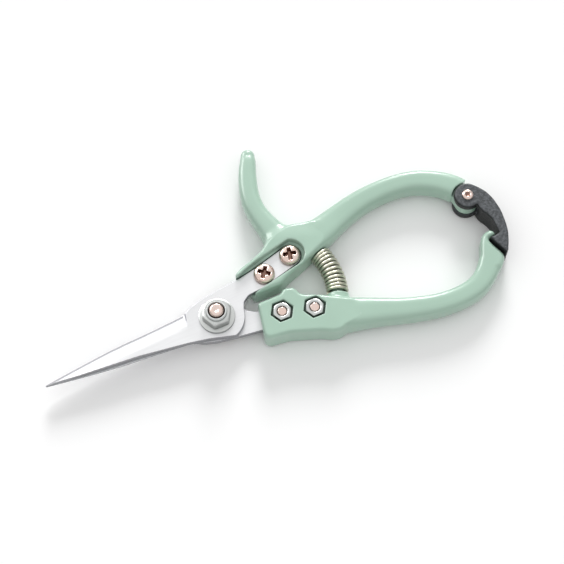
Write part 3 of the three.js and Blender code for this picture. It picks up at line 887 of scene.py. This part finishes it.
def blade(name, sizes):
    """The front blade: a flat plate ground on a slope behind its edge, with a narrow honed strip."""
    low, high = box_mm("front_blade")
    grain = sizes.blade_grain / MM
    block = Block(low, high, (grain, grain, grain / 2))
    shape = block.raised(blade_outline(), FRONT_LOW, FRONT_HIGH, 0.1)
    behind = [(-3, 7.1), *spline(CUTTING_EDGE, 60), (-82, -0.7), (-90, -60), (40, -60), (40, 10)]
    inward = -outline_distance(behind, block.x, block.y)
    plunge = (block.x - PLUNGE_X + PLUNGE_SLANT * (CUTTING_EDGE[0][1] - block.y))[..., None]
    ground, ground_depth = sizes.grind_width / MM, 0.75
    honed, honed_depth = sizes.honed_width / MM, FRONT_HIGH - FRONT_LOW - 0.3
    honed_reach = honed / (1 - ground_depth * (1 - honed / ground) / honed_depth)
    for width, depth, start, run_out in (
        (ground, ground_depth, 0.0, 0.9),
        (honed_reach, honed_depth, -1.2, 0.3),
    ):
        slope = math.atan2(depth, width)
        face = (FRONT_HIGH - depth * (1 - inward / width))[..., None]
        tool = -joined((block.z - face) * math.cos(slope), start - plunge, run_out)
        shape = cut(shape, tool, 0.12)
    shape = cut(shape, block.disc((0, 0), PIVOT_HOLE, -1, CASTING), 0.1)
    for centre in SCREWS:
        shape = cut(shape, block.disc(centre, SCREW_HOLE, -1, CASTING), 0.1)
    made = mesh_object(name, *block.skin(shape))
    made.data.shade_smooth()
    return made


class SHEARS_OT_blades(bpy.types.Operator):
    """Make the two ground steel blades"""

    bl_idname = "shears.blades"
    bl_label = "Blades"

    def execute(self, context):
        sizes = context.scene.shears_sizes
        finish = finish_named("satin_steel", steel_finish, colours().steel)
        fit(blade("front_blade_ground", sizes), finish, "upper_half", "front_blade")
        rear = turn_over(blade("rear_blade_ground", sizes))
        fit(rear, finish, "lower_half", "rear_blade")
        return {"FINISHED"}


# ---- pivot ----


class SHEARS_OT_pivot(bpy.types.Operator):
    """Make the pivot bolt, washer, nut and collar"""

    bl_idname = "shears.pivot"
    bl_label = "Pivot"

    def execute(self, context):
        pivot = (0.0, 0.0)
        low, high = box_mm("pivot_bolt")
        radius, shank = high[0], 2.98
        top = high[2]
        threads, pitch, depth = [], 0.8, 0.38
        for i in range(6):
            crest = 10.4 + i * pitch
            threads += [(shank - depth, crest - pitch / 2), (shank, crest)]
        bolt = lathe("pivot_bolt_turned", [
            (0, low[2]), (radius - 0.5, low[2]), (radius - 0.12, low[2] + 0.14), (radius, low[2] + 0.5),
            (radius, 2.6), (radius - 0.15, 3.0), (radius - 0.5, 3.2), (shank, 3.2), (shank, 9.8), *threads,
            (shank, top - 0.85), (shank - 0.2, top - 0.45), (shank - 0.55, top - 0.12),
            (shank - 0.85, top - 0.02), (1.1, top - 0.02), (0.75, top - 0.22), (0, top - 0.34),
        ], pivot)
        fit(smooth_by_angle(bolt, 32), screw_plating(), "lower_half", "pivot_bolt")

        low, high = box_mm("pivot_washer")
        outer = high[0]
        washer = lathe("pivot_washer_pressed", [
            (3.35, low[2]), (outer - 0.25, low[2]), (outer - 0.05, low[2] + 0.12), (outer, low[2] + 0.35),
            (outer, high[2] - 0.4), (outer - 0.1, high[2] - 0.13), (outer - 0.4, high[2]), (3.35, high[2]),
        ], pivot, 128)
        fit(smooth_by_angle(washer, 32), nut_plating(), "lower_half", "pivot_washer")

        made = nut("pivot_nut_forged", "pivot_nut", pivot, 3.15, 0.12)
        fit(made, nut_plating(), "lower_half", "pivot_nut")

        low, high = box_mm("pivot_nut_collar")
        outer = high[0]
        collar = lathe("pivot_collar_moulded", [
            (3.55, low[2]), (outer, low[2]), (outer, high[2] - 0.4), (outer - 0.08, high[2] - 0.15),
            (outer - 0.25, high[2]), (3.7, high[2]), (3.6, high[2] - 0.1), (3.55, high[2] - 0.25),
        ], pivot)
        nylon = finish_named("milky_nylon", nylon_finish, colours().nylon)
        fit(smooth_by_angle(collar, 40), nylon, "lower_half", "pivot_nut_collar")
        return {"FINISHED"}


# ---- screws and nuts ----


def cross_screw(name, centre, grain):
    """A pan-head screw with a tapered cross recess, its head up."""
    low, high = box_mm("upper_blade_screw_1")
    r, top, tall, deep = SCREW_HEAD, high[2], 2.5, 2.2
    under = top - tall
    block = Block((centre[0] - r, centre[1] - r, low[2]), (centre[0] + r, centre[1] + r, top), grain)
    head = block.turned([
        (-1, under), (r - 0.12, under), (r, under + 0.15), (r, under + 0.85), (r - 0.12, under + 1.3),
        (0.86 * r, under + 1.85), (0.72 * r, under + 2.2), (0.5 * r, under + 2.42), (0.25 * r, under + tall),
        (-1, under + tall),
    ], centre)
    shank = block.turned([
        (-1, low[2]), (1.7, low[2]), (1.98, low[2] + 0.35), (1.98, under + 1), (-1, under + 1),
    ], centre)
    x, y = np.abs(block.x - centre[0])[..., None], np.abs(block.y - centre[1])[..., None]
    sunk = top - block.z
    reach = 3.0 - 0.6 * sunk
    half = 0.85 - 0.15 * sunk
    arms = np.minimum(np.maximum(x - reach, y - half), np.maximum(y - reach, x - half))
    core = (x + y) * 0.7071 - (1.3 - 0.3 * sunk)
    recess = np.maximum(joined(arms, core, 0.15), sunk - deep)
    points, faces = block.skin(cut(joined(head, shank, 0.2), recess, 0.3))
    far = np.hypot(points[:, 0] - centre[0], points[:, 1] - centre[1])
    dome = under + np.interp(far / r, [0.25, 0.5, 0.72, 0.86], [tall, 2.42, 2.2, 1.85])
    made = mesh_object(name, points, faces)
    # How deep each point lies in the cross recess, for the plating's painted shade there.
    depth = np.clip((dome - points[:, 2] - 0.1) / 0.6, 0, 1)
    mark_painted_recess_shade(made, np.where((far < 3.3) & (points[:, 2] > under), depth, 0))
    return made


class SHEARS_OT_blade_screws(bpy.types.Operator):
    """Make the screws and nuts that hold the blades to the handles"""

    bl_idname = "shears.blade_screws"
    bl_label = "Blade Screws"

    def execute(self, context):
        grain = context.scene.shears_sizes.screw_grain / MM
        for i, centre in enumerate(SCREWS, 1):
            for half in ("upper", "lower"):
                screw = cross_screw(f"{half}_screw_{i}_headed", centre, grain)
                there = Matrix.Translation((centre[0] * MM, centre[1] * MM, 0))
                spin = Matrix.Rotation(math.radians(28 + 25 * i), 4, "Z")
                screw.data.transform(there @ spin @ there.inverted())
                screw.data.shade_smooth()
                hexed = nut(f"{half}_nut_{i}_forged", f"upper_blade_nut_{i}", centre, 2.12, 0.1)
                if half == "lower":
                    turn_over(screw)
                    turn_over(hexed)
                body = f"{half}_half"
                fit(screw, screw_plating(), body, f"{half}_blade_screw_{i}")
                fit(hexed, nut_plating(), body, f"{half}_blade_nut_{i}")
        return {"FINISHED"}


# ---- spring ----


def stretch(made, shares, first, second):
    """Sets each point of a wound piece where an eased weight comes out as its share, bakes the piece's
    transform into its mesh and puts the points back; nothing is blended between two bodies.
    The arguments first and second are not used."""
    start, end = Vector((0, -1, 0)), Vector((0, 1, 0))
    places = 0.5 - np.sin(np.arcsin(1 - 2 * shares) / 3)
    points = [v.co.copy() for v in made.data.vertices]
    for v, place in zip(made.data.vertices, places):
        v.co = start.lerp(end, place)
    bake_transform(made)
    for v, point in zip(made.data.vertices, points):
        v.co = point
    made.data.update()


class SHEARS_OT_spring(bpy.types.Operator):
    """Make the bowed coil spring between the handles"""

    bl_idname = "shears.spring"
    bl_label = "Spring"

    def execute(self, context):
        sizes = context.scene.shears_sizes
        wire = sizes.wire / MM
        radius = (SPRING_HIGH[2] - SPRING_LOW[2] + 0.3 - wire) / 2
        steps, sides, closing = int(sizes.coils * 30), 14, 0.2925
        centres = []
        for i in range(steps + 1):
            t = i / steps
            share = (1 - closing) * t + closing * eased_step(t, 0, 1)
            point, outward, _ = bow_point(BOW_HALF * (2 * share - 1))
            turn = 2 * math.pi * sizes.coils * t + math.pi
            side = radius * math.cos(turn)
            centres.append((*(point + outward * side), MIDDLE + radius * math.sin(turn)))
        centres = np.array(centres)
        points = []
        for i, at in enumerate(centres):
            along = centres[min(i + 1, steps)] - centres[max(i - 1, 0)]
            along /= np.linalg.norm(along)
            point, _, _ = bow_point(math.degrees(math.atan2(at[1], at[0] - BOW_CENTRE)))
            spoke = at - np.array([*point, MIDDLE])
            spoke -= along * spoke.dot(along)
            spoke /= np.linalg.norm(spoke)
            other = np.cross(along, spoke)
            for a in 2 * math.pi * np.arange(sides) / sides:
                points.append(at + wire / 2 * (spoke * math.cos(a) + other * math.sin(a)))
        rings = np.arange(len(points)).reshape(-1, sides).tolist()
        made = mesh_object("return_spring_wound", points, ring_faces(rings) + [rings[0][::-1], rings[-1]])
        smooth_by_angle(made, 50)
        made.data.materials.append(spring_plating())
        turns, held = np.repeat(np.linspace(0, sizes.coils, steps + 1), sides), 0.8
        shares = np.clip((turns - held) / (sizes.coils - 2 * held), 0, 1)
        stretch(made, shares, "lower_half", "upper_half")
        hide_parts("return_spring")
        return {"FINISHED"}


# ---- catch ----


def catch_outline(gap=0.0):
    """The catch seen from above, grown towards the lower handle by a gap."""
    return np.array([
        *arc(HINGE, 5.6, 40, 290, 40),
        *by(HINGE, (2.2, -8.3), (3.8, -11.1), (4.8 - gap, -13.9)),
        *by(BEARING, (4.8 - gap, 3.8)),
        *arc(HINGE, HOOK_REACH - gap, -77, -88.8, 6),
        *by(BEARING, (1.5 - gap, -3.3), (2.8 - gap, -6.3), (3.7 - gap, -9), (4.8, -8.1), (6.7, -4.6),
            (8.5, -0.5), (9.4, 3.8)),
        *by(HINGE, (10, -11.4), (9.4, -5.7), (8.1, -1.5), (5.8, 1.9)),
    ])


def catch_lever(sizes):
    """The forked catch with its slot for the tongue, its hook and the thumb grooves down its back."""
    low, high = box_mm("catch_lever")
    block = Block(low, high, sizes.catch_grain / MM)
    lever = block.raised(eased(catch_outline(), 1.6), low[2], high[2], 0.9)
    half = TONGUE / 2 + TONGUE_GAP
    slot_low, slot_high = MIDDLE - half, MIDDLE + half
    mouth = block.raised(eased(by(
        HINGE, (-12.2, -9.7), (-3.2, -10.7), (1.4, -8.1), (4.3, -3.7), (6.8, 0.8), (6.8, 12.3),
        (-12.2, 12.3)), 0.5), slot_low, slot_high)
    slot = joined(mouth, block.disc(HINGE, 5.8, slot_low, slot_high))
    lever = cut(lever, slot, 0.4)
    for groove in by(BEARING, *((10.1 - 0.077 * i * i, 3.4 - 1.5 * i) for i in range(5))):
        side = np.hypot(block.x - groove[0], block.y - groove[1])[..., None] - 0.62
        lever = cut(lever, np.maximum(side, np.abs(block.z - MIDDLE) - 4.6), 0.4)
    lever = cut(lever, block.disc(HINGE, 3.1, low[2] - 1, 1.4), 0.3)
    return block.skin(cut(lever, block.disc(HINGE, 1.65, -1, CASTING + 1), 0.2))


class SHEARS_OT_catch(bpy.types.Operator):
    """Make the catch with its rivet and washer"""

    bl_idname = "shears.catch"
    bl_label = "Catch"

    def execute(self, context):
        made = mesh_object("catch_lever_moulded", *catch_lever(context.scene.shears_sizes))
        made.data.shade_smooth()
        plastic = finish_named("charcoal_moulding", plastic_finish, colours().plastic)
        fit(made, plastic, "catch", "catch_lever")

        low, high = box_mm("catch_rivet")
        bottom, r, top = low[2], (high[0] - low[0]) / 2, high[2]
        rivet = lathe("catch_rivet_set", [
            (0, bottom + 0.08), (1.5, bottom), (1.95, bottom + 0.1), (2.1, bottom + 0.3),
            (2.1, bottom + 0.5), (1.6, bottom + 0.5), (1.6, top - 0.9), (r, top - 0.9), (r, top - 0.7),
            (r * 0.96, top - 0.48), (r * 0.84, top - 0.24), (r * 0.66, top - 0.08), (r * 0.56, top),
            (r * 0.5, top - 0.05), (r * 0.42, top - 0.3), (r * 0.3, top - 0.48), (0, top - 0.55),
        ], HINGE)
        # The rivet's centre dimple, for the plating's painted shade there.
        dimple = [v.co.z / MM > top - 0.6 and math.dist(v.co.xy / MM, HINGE) < r * 0.45
                  for v in rivet.data.vertices]
        mark_painted_recess_shade(rivet, dimple)
        fit(smooth_by_angle(rivet, 50), screw_plating(), "upper_half", "catch_rivet")

        low, high = box_mm("catch_rivet_washer")
        outer = (high[0] - low[0]) / 2
        washer = lathe("catch_washer_pressed", [
            (1.75, low[2]), (outer - 0.12, low[2]), (outer, low[2] + 0.15), (outer, high[2] - 0.12),
            (outer - 0.12, high[2]), (1.75, high[2]),
        ], HINGE)
        fit(smooth_by_angle(washer, 40), nut_plating(), "upper_half", "catch_rivet_washer")
        return {"FINISHED"}


# ---- stage ----

# The camera's direction, its aim, and how wide its view is there in millimetres.
VIEW_AZIMUTH, VIEW_ELEVATION = math.radians(-23.2), math.radians(68.0)
VIEW_TARGET = Vector((30.46, 3.43, 8.5)) * MM
VIEW_LENS, VIEW_SENSOR = 100.0, 36.0
VIEW_WIDTH = 233.05785
VIEW_DISTANCE = VIEW_WIDTH / VIEW_SENSOR * VIEW_LENS * MM


def lamp(name, kind, from_there, **settings):
    """A light a metre away in a direction, turned to the middle of the view."""
    light = bpy.data.lights.new(name, kind)
    for setting, value in settings.items():
        setattr(light, setting, value)
    made = bpy.data.objects.new(name, light)
    made.location = VIEW_TARGET + from_there.normalized()
    made.rotation_euler = from_there.to_track_quat("Z", "Y").to_euler()
    bpy.context.scene.collection.objects.link(made)
    return made


class SHEARS_OT_stage(bpy.types.Operator):
    """Make the floor, the lights and the camera"""

    bl_idname = "shears.stage"
    bl_label = "Stage"

    def execute(self, context):
        scene = context.scene
        far = 4000.0
        corners = [(-far, -far, 0), (far, -far, 0), (far, far, 0), (-far, far, 0)]
        floor = mesh_object("floor", corners, [(0, 1, 2, 3)])
        floor.data.materials.append(finish_named("white_floor", floor_finish, colours().floor))

        world = bpy.data.worlds.new("studio")
        world.use_nodes = True
        scene.world = world
        studio = Nodes(world.node_tree)
        place = studio.node("ShaderNodeTexCoord", out="Generated")
        height = studio.node("ShaderNodeSeparateXYZ", None, {0: place}, out="Z")
        back = world.node_tree.nodes["Background"]
        studio.feed(back.inputs["Color"], studio.ramp(
            height, (0.0, 0.20), (0.3, 0.42), (0.65, 0.72), (1.0, 0.80)))
        studio.feed(back.inputs["Strength"], 1.14)

        ground_back = Vector((-math.sin(VIEW_AZIMUTH), math.cos(VIEW_AZIMUTH), 0))
        ground_right = Vector((math.cos(VIEW_AZIMUTH), math.sin(VIEW_AZIMUTH), 0))
        rise = math.radians(24)
        from_window = (ground_back + 0.05 * ground_right).normalized() * math.cos(rise)
        from_window.z = math.sin(rise)
        lamp("window", "SUN", from_window, energy=2.3, angle=math.radians(20))
        from_softbox = ground_back - 1.1 * ground_right + Vector((0, 0, 0.75))
        lamp("softbox", "AREA", from_softbox, energy=7.0, size=0.55).visible_diffuse = False

        towards_viewer = Vector((
            math.sin(VIEW_AZIMUTH) * math.cos(VIEW_ELEVATION),
            -math.cos(VIEW_AZIMUTH) * math.cos(VIEW_ELEVATION),
            math.sin(VIEW_ELEVATION)))
        camera = bpy.data.objects.new("camera", bpy.data.cameras.new("camera"))
        camera.data.lens = VIEW_LENS
        camera.data.sensor_width = VIEW_SENSOR
        camera.data.clip_start = 0.01
        up = towards_viewer.cross(ground_right)
        turn = Matrix((ground_right, up, towards_viewer)).transposed().to_4x4()
        camera.matrix_world = Matrix.Translation(VIEW_TARGET + towards_viewer * VIEW_DISTANCE) @ turn
        scene.collection.objects.link(camera)
        scene.camera = camera
        scene.view_settings.view_transform = "Standard"
        return {"FINISHED"}


# ---- panel and registration ----


class SHEARS_PT_pieces(bpy.types.Panel):
    """Lists the pieces of the shears and their settings"""

    bl_idname = "SHEARS_PT_pieces"
    bl_label = "Pruning Shears"
    bl_space_type = "VIEW_3D"
    bl_region_type = "UI"
    bl_category = "Shears"

    def draw(self, context):
        for operator in OPERATORS:
            self.layout.operator(operator.bl_idname)
        for group in (context.scene.shears_sizes, context.scene.shears_finishes):
            column = self.layout.column(align=True)
            for name in group.__annotations__:
                column.prop(group, name)


OPERATORS = (
    SHEARS_OT_handles,
    SHEARS_OT_blades,
    SHEARS_OT_pivot,
    SHEARS_OT_blade_screws,
    SHEARS_OT_spring,
    SHEARS_OT_catch,
    SHEARS_OT_stage,
)
CLASSES = (ShearsSizes, ShearsFinishes, *OPERATORS, SHEARS_PT_pieces)


def register():
    for each in CLASSES:
        bpy.utils.register_class(each)
    bpy.types.Scene.shears_sizes = bpy.props.PointerProperty(type=ShearsSizes)
    bpy.types.Scene.shears_finishes = bpy.props.PointerProperty(type=ShearsFinishes)


def unregister():
    del bpy.types.Scene.shears_finishes
    del bpy.types.Scene.shears_sizes
    for each in reversed(CLASSES):
        bpy.utils.unregister_class(each)


def main():
    register()
    bpy.ops.shears.handles()
    bpy.ops.shears.blades()
    bpy.ops.shears.pivot()
    bpy.ops.shears.blade_screws()
    bpy.ops.shears.spring()
    bpy.ops.shears.catch()
    bpy.ops.shears.stage()


if __name__ == "__main__":
    main()
